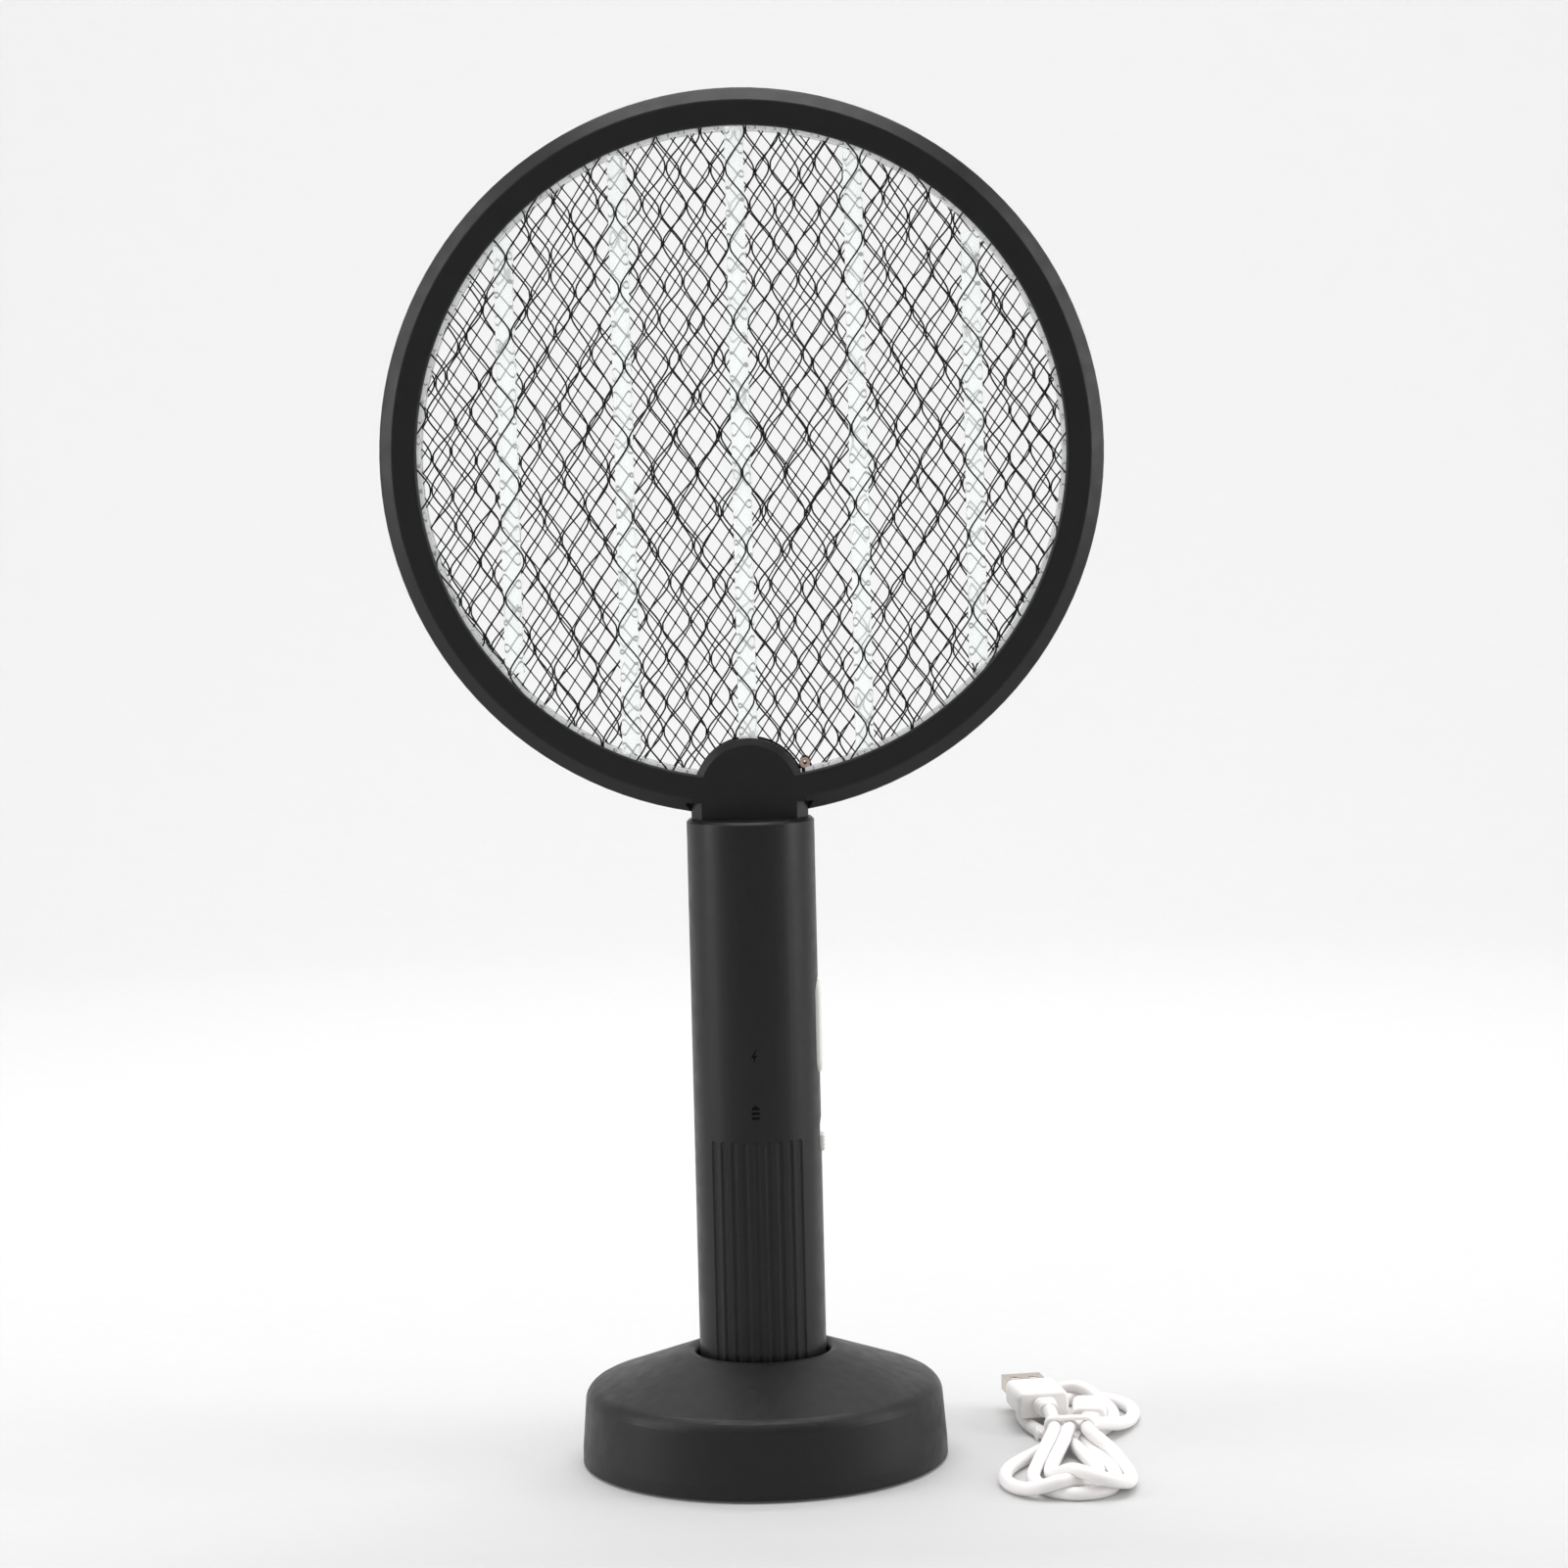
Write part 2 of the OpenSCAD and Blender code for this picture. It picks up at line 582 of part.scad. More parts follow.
// bolt outline in X and Z, smaller all round by its scale k
module bolt2d(k = 1) {
    scale(k)
        polygon([[0.5, 2.35], [-1.1, -0.35], [-0.1, -0.35],
            [-0.55, -2.35], [1.1, 0.55], [0.1, 0.55], [0.9, 2.35]]);
}

// battery gauge: a roof over two bars, each scaled about its own middle
module gauge2d(k = 1) {
    translate([0, 1.4]) scale(k) polygon([[-1.2, -0.6], [1.2, -0.6], [1.2, -0.1], [0, 0.8], [-1.2, -0.1]]);
    for (z = [-0.2, -1.6]) translate([0, z]) scale(k) square([2.4, 0.75], center = true);
}

module handle_front_shell() color([0.14, 0.14, 0.14]) difference() {
    union() {
        tube_half(true);
        cell_ribs(true);
        inner_rests(true);
        difference() {
            handle_bosses(true);
            translate([0, 0, 1]) difference() {
                cylinder(r = handle_r + 9, h = handle_top, $fn = 96);
                translate([0, 0, -1]) cylinder(r = bore_r + 0.3, h = handle_top + 2, $fn = 96);
            }
        }
    }
    control_cuts();
    for (k = [-(flutes - 1) / 2 : (flutes - 1) / 2]) rotate([0, 0, -90 + k * flute_step])
        translate([handle_r + flute_r - flute_depth, 0, handle_foot + 8]) {
            cylinder(r = flute_r, h = flute_len, $fn = 24);
            translate([0, 0, flute_len]) sphere(flute_r, $fn = 24);
        }
    for (z = handle_screw_z) for (s = [-1, 1]) translate([s * handle_screw_x, 0, z])
        along_y(1.1, -8, 9, 24);
    upright(-handle_r - 1, 6) translate([0, bolt_z]) bolt2d();
    upright(-handle_r - 1, 6) translate([0, gauge_z]) gauge2d();
}

module handle_rear_shell() color([0.14, 0.14, 0.14]) difference() {
    union() {
        tube_half(false);
        cell_ribs(false);
        inner_rests(false);
        difference() {
            handle_bosses(false);
            translate([0, 0, 1]) difference() {
                cylinder(r = handle_r + 9, h = handle_top, $fn = 96);
                translate([0, 0, -1]) cylinder(r = bore_r + 0.3, h = handle_top + 2, $fn = 96);
            }
        }
    }
    control_cuts();
    for (z = handle_screw_z) for (s = [-1, 1]) translate([s * handle_screw_x, 0, z]) {
        along_y(1.4, -1, 20, 24);
        along_y(2.1, 7, 14, 24);
    }
    // charging port
    translate([0, handle_r - 3, usb_z]) rotate([90, 0, 0])
        linear_extrude(8, center = true) rotate(90) slot2d(8.2, 3.2);
    translate([0, handle_r + 0.4, usb_z]) rotate([90, 0, 0])
        linear_extrude(2, center = true) rotate(90) slot2d(12.5, 8);
}

module handle_screws() color([0.25, 0.25, 0.26])
    for (z = handle_screw_z) for (s = [-1, 1]) translate([s * handle_screw_x, 0, z])
        screw_y(8.3, 2, 1.3, 1.05, 14);

module bolt_window() color([0.05, 0.05, 0.05])
    upright(-handle_r + 0.2, handle_wall + 1) translate([0, bolt_z]) bolt2d(0.97);

module battery_window() color([0.05, 0.05, 0.05])
    upright(-handle_r + 0.2, handle_wall + 1) translate([0, gauge_z]) gauge2d(0.97);

// ---------- electronics ----------

module main_board() color([0.1, 0.3, 0.15]) difference() {
    span([-board_w / 2, front_y, board_z0], [board_w / 2, board_y, board_z1]);
    for (x = [-1, 1]) for (z = [board_z0 + 3, board_z1 - 3])
        translate([x * board_hole_x, 0, z]) along_y(1.2, front_y - 1, 4);
}

module transformer() color([0.75, 0.65, 0.2]) {
    z0 = board_z1 - 26;
    span([-7, board_y, z0], [7, board_y + 2, z0 + 15]);
    span([-7, board_y + 9, z0], [7, board_y + 11, z0 + 15]);
    translate([0, 0, z0 + 7.5]) along_y(5, board_y + 1.5, 8, 40);
    span([-7, board_y, z0 - 2], [7, board_y + 3, z0 + 0.5]);
    span([-7, board_y, z0 + 14.5], [7, board_y + 3, z0 + 17]);
}

module film_capacitors() color([0.5, 0.12, 0.1])
    for (z = [board_z1 - 40.5, board_z1 - 33.5]) hull() for (s = [-1, 1])
        translate([s * 4.5, 0, z]) along_y(2.6, board_y, 9, 24);

module rectifier_diodes() color([0.1, 0.1, 0.1])
    for (k = [0 : 3]) translate([-6 + k * 4, board_y + 1.35, board_z0 + 24])
        cylinder(r = 1.35, h = 5, center = true, $fn = 24);

module switching_transistor() color([0.08, 0.08, 0.08])
    translate([-7, board_y, board_z0 + 16]) difference() {
        along_y(2.3, 0, 5, 32);
        translate([-3, -1, -4]) cube([6, 7, 3]);
    }

module resistors() color([0.75, 0.65, 0.45])
    for (k = [0 : 2]) translate([0.5 + k * 3, board_y + 1, board_z0 + 15])
        cylinder(r = 1, h = 5, center = true, $fn = 24);

module charge_chip() color([0.06, 0.06, 0.06]) {
    span([-2, front_y - 1.5, board_z0 + 5], [2, front_y - 0.1, board_z0 + 10]);
    for (s = [-1, 1]) for (k = [0 : 3])
        span([s * 2.5 - 0.5, front_y - 0.3, board_z0 + 5.4 + k * 1.2],
            [s * 2.5 + 0.5, front_y, board_z0 + 5.8 + k * 1.2]);
}

module indicator_lamps() color([0.9, 0.9, 0.85])
    for (z = [bolt_z, gauge_z])
        span([-1.5, front_y - 1.2, z - 1.2], [1.5, front_y, z + 1.2]);

module battery_cell() color([0.1, 0.45, 0.3]) translate([0, 0, cell_foot]) {
    cylinder(r = cell_d / 2 - 0.4, h = cell_l, $fn = 64);
    translate([0, 0, 0.4]) cylinder(r = cell_d / 2, h = cell_l - 0.8, $fn = 64);
    translate([0, 0, cell_l - eps]) cylinder(r = 3.2, h = 1, $fn = 32);
}

module battery_strips() color([0.75, 0.75, 0.75]) {
    span([-4, -4, cell_foot - 0.3], [4, lead_y + 0.3, cell_foot]);
    span([-4, -4, cell_foot + cell_l + 1 - eps], [4, 4, cell_foot + cell_l + 1.3]);
}

module battery_leads() color([0.7, 0.1, 0.1]) {
    top = cell_foot + cell_l;
    lead([[lead_x - 1, lead_y - 0.3, cell_foot + 0.72], [lead_x, lead_y, cell_foot + 5],
        [lead_x, lead_y, top - 2], [7, 4, top + 5], [7, board_y + 0.72, board_z0 + 8]], 0.7);
    lead([[-2, 2, top + 2.02], [-6, 0, top + 5], [-8, board_y + 0.72, board_z0 + 8]], 0.7);
}

// ---------- controls ----------

switch_face = bore_r - 4.6;   // face of the tactile switch's body
switch_back = min(switch_face - 3.6, board_w / 2 - 3);

module button_switch() color([0.15, 0.15, 0.16]) {
    span([switch_face - 3.6, -3, button_z - 3], [switch_face, 3, button_z + 3]);
    span([switch_back, board_y, button_z - 2], [switch_face - 2.6, -2.9, button_z + 2]);
    translate([0, 0, button_z]) along_x(1.7, switch_face - eps, 0.5);
}

module push_button() color([0.85, 0.85, 0.83]) {
    top_x = handle_r + 0.9;
    // visible pad with a rounded edge
    translate([bore_r - 1, 0, button_z]) rotate([90, 0, 90])
        linear_extrude(top_x - 0.5 - bore_r + 1) slot2d(button_l, button_w);
    translate([top_x - 0.5 - eps, 0, button_z]) rotate([90, 0, 90])
        linear_extrude(0.5) slot2d(button_l - 1, button_w - 1);
    // flange that keeps it in the shell
    translate([bore_r - 3, 0, button_z]) rotate([90, 0, 90])
        linear_extrude(1.2) slot2d(button_l + 2, button_w + 1.4);
    translate([bore_r - 2, 0, button_z]) rotate([90, 0, 90])
        linear_extrude(1.2) slot2d(button_l, button_w);
    // plunger over the tactile switch
    translate([0, 0, button_z]) along_x(1.5, switch_face + 0.5 + button_travel + 0.05,
        bore_r - 3 - switch_face - 0.5 - button_travel);
}

module slide_switch_body() color([0.6, 0.6, 0.62]) difference() {
    span([switch_back, board_y, knob_mid - 6.5], [switch_face + 0.4, 4.2, knob_mid + 6.5]);
    span([switch_face - 1.6, -1.6, knob_mid - knob_travel / 2 - 2.2],
        [switch_face + 1, 1.6, knob_mid + knob_travel / 2 + 2.2]);
}

module slide_switch_knob() color([0.85, 0.85, 0.83]) {
    // stem through the shell and into the switch
    span([switch_face - 1.3, -1.2, switch_z - 1.2], [handle_r - 1, 1.2, switch_z + 1.2]);
    // thumb pad with ridges
    difference() {
        translate([handle_r - 1.05, 0, switch_z]) rotate([90, 0, 90])
            linear_extrude(2.1) square([5.4, knob_l], center = true);
        for (k = [-1 : 1]) translate([handle_r + 1.1, 0, switch_z + k * 1.7]) rotate([90, 0, 0])
            cylinder(r = 0.45, h = 8, center = true, $fn = 24);
    }
}

// ---------- charging socket ----------

module charge_board() color([0.1, 0.3, 0.15])
    span([-7, socket_y - 1.2, usb_z - 5.5], [7, socket_y, usb_z + 5.5]);

module charge_socket() color([0.75, 0.75, 0.76])
    translate([0, socket_y + 5.4, usb_z]) rotate([90, 0, 0]) difference() {
        linear_extrude(5.4) rotate(90) slot2d(7.6, 2.7);
        translate([0, 0, -1]) linear_extrude(5.4) rotate(90) slot2d(6.9, 2.0);
    }

module charge_socket_tongue() color([0.1, 0.1, 0.1])
    span([-2.2, socket_y + 1, usb_z - 0.3], [2.2, socket_y + 4.6, usb_z + 0.3]);

// ---------- charging cable, loose on the floor beside the stand ----------

// everything below is drawn around the tie and moved to its place
module beside() { translate([cable_x, 0, 0]) children(); }

// outline of a loop bundle: round lobe whose sides run in to the tie
module lobe2d(x0, x1, tip, neck_x, y0) {
    r = (x1 - x0) / 2;
    hull() {
        translate([(x0 + x1) / 2, tip - sign(tip) * r]) circle(r, $fn = 48);
        translate([0, y0 + sign(y0) * 0.01]) square([2 * neck_x, 0.02], center = true);
    }
}

module cable_hank_lower() color([0.93, 0.92, 0.92]) beside() {
    linear_extrude(3 * lobe_h) lobe2d(-24, 17.6, -60, 6.6, -tie_w / 2);
    // six runs of cable, two high, through the tie
    span([-6.2, -tie_w / 2 - eps, 1.05], [6.2, tie_w / 2, 2 * lobe_h + 0.65]);
}

module cable_hank_upper() color([0.93, 0.92, 0.92]) beside() {
    difference() {
        linear_extrude(lobe_h) lobe2d(-14.6, 24.6, 59.6, 6.6, tie_w / 2);
        // room for the small plug, which lies on the floor inside the loops
        micro_place() span([-5.6, -0.2, -9], [5.6, 29.5, 9]);
    }
    // loops cross here, one on the other
    translate([5, 50, lobe_h - eps]) intersection() {
        linear_extrude(cable_d + 0.3) translate([-8, -0.5]) square([24, 9.5]);
        translate([-5, -50, -1]) linear_extrude(9) lobe2d(-14.6, 24.6, 59.6, 6.6, tie_w / 2);
    }
}

module cable_tie() color([0.94, 0.94, 0.93]) beside() {
    difference() {
        translate([0, tie_w / 2, 5.05]) rotate([90, 0, 0])
            linear_extrude(tie_w) square([14.8, 10.1], center = true);
        translate([0, tie_w, 5.05]) rotate([90, 0, 0])
            linear_extrude(2 * tie_w) square([12.8, 8.1], center = true);
    }
    // twisted end of the tie
    translate([-7.4, 0, 5]) rotate([0, -90, 0]) cylinder(r = 2.2, h = 3.4, $fn = 32);
}

usb_base = [-5.2, 14.2, 8.4];   // where the cable enters the large plug
micro_base = [7.2, 15.9, 3.6];  // where the cable enters the small plug

module usb_place() { translate(usb_base) rotate([0, 0, 10]) children(); }
module micro_place() { translate(micro_base) rotate([0, 0, -3]) children(); }

// outline across a plug, extruded along its length from y to y + l
module plug_body(y, l) {
    translate([0, y + l, 0]) rotate([90, 0, 0]) linear_extrude(l) children();
}

module round2d(w, h, r) {
    square([w - 2 * r, h], center = true);
    square([w, h - 2 * r], center = true);
    for (x = [-1, 1]) for (y = [-1, 1])
        translate([x * (w / 2 - r), y * (h / 2 - r)]) circle(r, $fn = 32);
}

module usb_plug_grip() color([0.94, 0.93, 0.92]) beside() usb_place() {
    plug_body(0, 6.4) round2d(7.6, 5.4, 2);
    plug_body(6.4 - eps, 18.6) round2d(15.6, 8, 2);
}

module usb_plug_shell() color([0.66, 0.62, 0.57]) beside() usb_place() difference() {
    plug_body(25, 13.7) square([12, 4.5], center = true);
    plug_body(25 + 0.4, 14) square([11.3, 3.8], center = true);
    for (s = [-1, 1]) for (z = [-1, 1])
        translate([s * 2.9, 25 + 8.4, z * 2.2]) cube([2.6, 2.6, 1], center = true);
}

module usb_plug_insert() color([0.93, 0.93, 0.93]) beside() usb_place()
    span([-5.6, 25.45, -1.85], [5.6, 38, 0]);

module micro_plug_grip() color([0.94, 0.93, 0.92]) beside() micro_place() {
    plug_body(0, 6) round2d(6.6, 5, 2);
    plug_body(6 - eps, 16) round2d(10.4, 7, 2);
}

module micro_plug_shell() color([0.66, 0.62, 0.57]) beside() micro_place() difference() {
    plug_body(22, 6.4) round2d(6.8, 1.8, 0.5);
    plug_body(22 + 1, 6.4) round2d(6.2, 1.2, 0.3);
}

stand_shell();
stand_base_plate();
stand_feet();
stand_screws();
head_frame_front();
head_frame_rear();
net_front();
net_middle();
net_rear();
spacer_front();
spacer_rear();
head_screws();
neck_screws();
net_terminals();
net_leads();
handle_front_shell();
handle_rear_shell();
handle_screws();
bolt_window();
battery_window();
main_board();
transformer();
film_capacitors();
rectifier_diodes();
switching_transistor();
resistors();
charge_chip();
indicator_lamps();
battery_cell();
battery_strips();
battery_leads();
button_switch();
push_button();
slide_switch_body();
slide_switch_knob();
charge_board();
charge_socket();
charge_socket_tongue();
cable_hank_lower();
cable_hank_upper();
cable_tie();
usb_plug_shell();
usb_plug_insert();
usb_plug_grip();
micro_plug_shell();
micro_plug_grip();
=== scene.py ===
import json
import math
import random

import bmesh
import bpy
import numpy as np
from mathutils import Matrix, Vector


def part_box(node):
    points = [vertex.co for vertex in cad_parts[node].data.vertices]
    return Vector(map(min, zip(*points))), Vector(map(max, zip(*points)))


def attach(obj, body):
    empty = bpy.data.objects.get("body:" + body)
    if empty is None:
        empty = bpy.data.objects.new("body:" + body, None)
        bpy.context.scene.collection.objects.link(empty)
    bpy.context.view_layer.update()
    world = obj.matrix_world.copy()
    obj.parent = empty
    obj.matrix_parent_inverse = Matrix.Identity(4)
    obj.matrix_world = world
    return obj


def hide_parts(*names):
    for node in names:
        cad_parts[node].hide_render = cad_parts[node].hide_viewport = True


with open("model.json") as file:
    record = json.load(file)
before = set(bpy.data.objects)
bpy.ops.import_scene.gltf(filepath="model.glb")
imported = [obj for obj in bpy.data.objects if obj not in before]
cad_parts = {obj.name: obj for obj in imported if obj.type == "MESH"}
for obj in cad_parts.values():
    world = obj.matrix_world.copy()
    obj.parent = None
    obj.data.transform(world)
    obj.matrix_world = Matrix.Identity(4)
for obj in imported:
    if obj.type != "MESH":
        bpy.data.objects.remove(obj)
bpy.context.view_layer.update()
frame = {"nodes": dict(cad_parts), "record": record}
nodes = frame["nodes"]
random.seed(7)

MM = 0.001
SHARP = math.radians(35)   # faces that meet at more than this keep a sharp edge


# ---------- camera: the photo's view ----------

def place_camera():
    """A long lens a little above the head's middle, looking slightly down and tilted by a degree."""
    pitch, yaw, roll = 0.0765, -0.0176, -0.0238
    right = Vector((math.cos(yaw), -math.sin(yaw), 0))
    ahead = Vector((math.sin(yaw), math.cos(yaw), 0))
    forward = math.cos(pitch) * ahead - math.sin(pitch) * Vector((0, 0, 1))
    up = math.sin(pitch) * ahead + math.cos(pitch) * Vector((0, 0, 1))
    side = math.cos(roll) * right + math.sin(roll) * up
    top = -math.sin(roll) * right + math.cos(roll) * up
    data = bpy.data.cameras.new("camera")
    data.lens = 85.4
    data.sensor_width = 36
    cam = bpy.data.objects.new("camera", data)
    bpy.context.scene.collection.objects.link(cam)
    turn = Matrix((side, top, -forward)).transposed().to_4x4()
    cam.matrix_world = Matrix.Translation((0.0292, -1.0846, 0.2827)) @ turn
    bpy.context.scene.camera = cam


place_camera()


# ---------- materials ----------

def linear(rgb):
    """sRGB bytes to linear colour."""
    out = []
    for c in rgb:
        c = c / 255
        out.append(c / 12.92 if c <= 0.04045 else ((c + 0.055) / 1.055) ** 2.4)
    return (*out, 1)


def finish_of(name, rgb, rough, metal=0.0, grain=900.0, bump=0.06, spread=0.06, tone=0.06, wear=0.12,
              coat=0.0, round_edge=0.0, transmission=0.0, ior=1.46, scatter=0.0, specular=0.5, glow=0.0):
    """A procedural surface: uneven roughness, fine bump, slight tone drift and worn, brighter patches."""
    mat = bpy.data.materials.new(name)
    mat.use_nodes = True
    tree = mat.node_tree
    bsdf = tree.nodes["Principled BSDF"]
    link = tree.links.new

    place = tree.nodes.new("ShaderNodeTexCoord")

    def noise(scale, detail=3.0):
        tex = tree.nodes.new("ShaderNodeTexNoise")
        tex.inputs["Scale"].default_value = scale
        tex.inputs["Detail"].default_value = detail
        link(place.outputs["Object"], tex.inputs["Vector"])
        return tex.outputs["Fac"]

    def ramp(value, low, high, start, end):
        node = tree.nodes.new("ShaderNodeMapRange")
        node.inputs["From Min"].default_value = low
        node.inputs["From Max"].default_value = high
        node.inputs["To Min"].default_value = start
        node.inputs["To Max"].default_value = end
        link(value, node.inputs["Value"])
        return node.outputs["Result"]

    base = linear(rgb)
    shade = tree.nodes.new("ShaderNodeMix")
    shade.data_type = "RGBA"
    shade.inputs["A"].default_value = [min(1, c * (1 - tone)) for c in base[:3]] + [1]
    shade.inputs["B"].default_value = [min(1, c * (1 + tone)) for c in base[:3]] + [1]
    link(noise(45.0), shade.inputs["Factor"])

    worn = tree.nodes.new("ShaderNodeMix")
    worn.data_type = "RGBA"
    worn.inputs["B"].default_value = [min(1, c * 1.25 + 0.006) for c in base[:3]] + [1]
    link(shade.outputs["Result"], worn.inputs["A"])
    link(ramp(noise(130.0, 6.0), 0.58, 0.75, 0.0, wear), worn.inputs["Factor"])
    link(worn.outputs["Result"], bsdf.inputs["Base Color"])

    link(ramp(noise(210.0, 5.0), 0.3, 0.7, max(0.02, rough - spread), min(1, rough + spread)),
         bsdf.inputs["Roughness"])

    grain_bump = tree.nodes.new("ShaderNodeBump")
    grain_bump.inputs["Strength"].default_value = bump
    grain_bump.inputs["Distance"].default_value = 0.0002
    link(noise(grain, 2.0), grain_bump.inputs["Height"])
    if round_edge:
        bevel = tree.nodes.new("ShaderNodeBevel")
        bevel.samples = 4
        bevel.inputs["Radius"].default_value = round_edge
        link(bevel.outputs["Normal"], grain_bump.inputs["Normal"])
    link(grain_bump.outputs["Normal"], bsdf.inputs["Normal"])

    bsdf.inputs["Metallic"].default_value = metal
    bsdf.inputs["IOR"].default_value = ior
    bsdf.inputs["Coat Weight"].default_value = coat
    bsdf.inputs["Coat Roughness"].default_value = 0.12
    bsdf.inputs["Specular IOR Level"].default_value = specular
    # glow is a lamp-less white emission: on the clear plastic it is painted light that brightens the bars, on
    # the floor an even brightness
    bsdf.inputs["Emission Color"].default_value = (1, 1, 1, 1)
    bsdf.inputs["Emission Strength"].default_value = glow
    bsdf.inputs["Transmission Weight"].default_value = transmission
    if scatter:
        bsdf.inputs["Subsurface Weight"].default_value = scatter
        bsdf.inputs["Subsurface Radius"].default_value = (0.9, 0.9, 1.0)
        bsdf.inputs["Subsurface Scale"].default_value = 0.0015
    return mat


LOOKS = {
    "black_shell": finish_of("black_shell", (24, 24, 24), 0.38, grain=2600, bump=0.10, specular=0.32,
                             round_edge=0.0004),
    "black_frame": finish_of("black_frame", (22, 22, 22), 0.40, grain=2600, bump=0.10, specular=0.32,
                             round_edge=0.0005),
    "stand_plastic": finish_of("stand_plastic", (26, 26, 26), 0.44, grain=2200, bump=0.16, specular=0.32,
                               round_edge=0.0004),
    "black_net": finish_of("black_net", (12, 12, 13), 0.5, grain=3000, bump=0.05, specular=0.3),
    "brown_net": finish_of("brown_net", (22, 15, 12), 0.5, metal=0.2, grain=3000, bump=0.05, specular=0.3),
    # glow=0.10 here is painted light: a faint emission that makes the milky bars look brighter, as if lit
    # through
    "clear_plastic": finish_of("clear_plastic", (248, 251, 250), 0.14, transmission=0.82, tone=0.02,
                               wear=0.05, bump=0.03, ior=1.3, glow=0.10),
    "rubber_foot": finish_of("rubber_foot", (52, 52, 53), 0.75, bump=0.25, grain=1800),
    "screw_steel": finish_of("screw_steel", (178, 178, 182), 0.30, metal=1.0, wear=0.3, round_edge=0.0001),
    "dark_screw": finish_of("dark_screw", (70, 70, 74), 0.35, metal=1.0, wear=0.3, round_edge=0.0001),
    "terminal_metal": finish_of("terminal_metal", (205, 178, 166), 0.26, metal=1.0, wear=0.3),
    "lead_insulation": finish_of("lead_insulation", (150, 28, 26), 0.45, bump=0.12),
    "dark_lead": finish_of("dark_lead", (30, 30, 31), 0.45, bump=0.12),
    "window_plastic": finish_of("window_plastic", (8, 8, 8), 0.55, bump=0.03, specular=0.12),
    "board": finish_of("board", (28, 84, 46), 0.34, coat=0.4, grain=1400, bump=0.12),
    "ferrite": finish_of("ferrite", (188, 160, 62), 0.5, bump=0.2),
    "film_cap": finish_of("film_cap", (132, 36, 28), 0.3, coat=0.4),
    "chip_black": finish_of("chip_black", (30, 30, 31), 0.55, bump=0.2),
    "resistor_body": finish_of("resistor_body", (200, 170, 126), 0.45),
    "lamp_lens": finish_of("lamp_lens", (235, 235, 225), 0.18, scatter=0.3),
    "cell_wrap": finish_of("cell_wrap", (36, 120, 84), 0.28, coat=0.3, bump=0.05),
    "nickel": finish_of("nickel", (190, 188, 182), 0.28, metal=1.0, wear=0.3),
    "control_white": finish_of("control_white", (226, 226, 222), 0.36, scatter=0.15, tone=0.02, wear=0.08,
                               grain=2200, bump=0.08),
    "plug_metal": finish_of("plug_metal", (196, 184, 172), 0.24, metal=1.0, wear=0.35, grain=1500, bump=0.05,
                            round_edge=0.0004),
    "white_cable": finish_of("white_cable", (243, 240, 239), 0.42, scatter=0.2, tone=0.02, wear=0.06,
                             grain=1800, bump=0.10),
    "white_plug": finish_of("white_plug", (243, 240, 238), 0.34, scatter=0.2, tone=0.02, wear=0.06,
                            grain=2400, bump=0.10),
}

for part in frame["record"]["subparts"]:
    # the leads of the nets are black where they show
    look = "dark_lead" if part["node"] == "net_leads" else part["material_slot"]
    for material_slot in nodes[part["node"]].material_slots:
        material_slot.material = LOOKS[look]


# ---------- mesh helpers, in metres ----------

def add_piece(name, verts, faces, body, look, replaces):
    """A new piece on a CAD body, finished with one of the looks."""
    mesh = bpy.data.meshes.new(name)
    mesh.from_pydata([tuple(v) for v in verts], [], faces)
    mesh.validate()
    bm = bmesh.new()
    bm.from_mesh(mesh)
    bmesh.ops.recalc_face_normals(bm, faces=bm.faces)
    bm.to_mesh(mesh)
    bm.free()
    obj = bpy.data.objects.new(name, mesh)
    bpy.context.scene.collection.objects.link(obj)
    mesh.materials.append(LOOKS[look])
    mesh.shade_smooth()
    mesh.set_sharp_from_angle(angle=SHARP)
    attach(obj, body)
    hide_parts(*replaces)
    return obj


def tube(points, radius, sides):
    """Vertices and faces of a closed round tube along its points, with one radius or one for each point."""
    pts = np.asarray(points, float)
    along = np.gradient(pts, axis=0)
    along /= np.linalg.norm(along, axis=1)[:, None]
    up = np.array([0.0, 1.0, 0.0]) if abs(along[0][1]) < 0.9 else np.array([1.0, 0.0, 0.0])
    verts, faces = [], []
    for i, (p, d) in enumerate(zip(pts, along)):
        u = np.cross(d, up)
        u /= np.linalg.norm(u)
        up = np.cross(u, d)
        r = radius[i] if hasattr(radius, "__len__") else radius
        for k in range(sides):
            a = 2 * math.pi * k / sides
            verts.append(p + r * (math.cos(a) * u + math.sin(a) * up))
    for i in range(len(pts) - 1):
        for k in range(sides):
            n = (k + 1) % sides
            faces.append((i * sides + k, i * sides + n, (i + 1) * sides + n, (i + 1) * sides + k))
    faces.append(tuple(range(sides - 1, -1, -1)))
    last = (len(pts) - 1) * sides
    faces.append(tuple(last + k for k in range(sides)))
    return verts, faces


def merged(parts):
    """One vertex and face list from several."""
    verts, faces = [], []
    for v, f in parts:
        start = len(verts)
        verts.extend(v)
        faces.extend(tuple(start + i for i in face) for face in f)
    return verts, faces


def round_rect(w, h, r, steps=6):
    """Outline of a w by h rectangle with corner radius r."""
    r = max(1e-5, min(r, w / 2 - 1e-6, h / 2 - 1e-6))
    out = []
    for cx, cy, start in ((1, 1, 0), (-1, 1, 90), (-1, -1, 180), (1, -1, 270)):
        for k in range(steps + 1):
            a = math.radians(start + 90 * k / steps)
            out.append((cx * (w / 2 - r) + r * math.cos(a), cy * (h / 2 - r) + r * math.sin(a)))
    return out


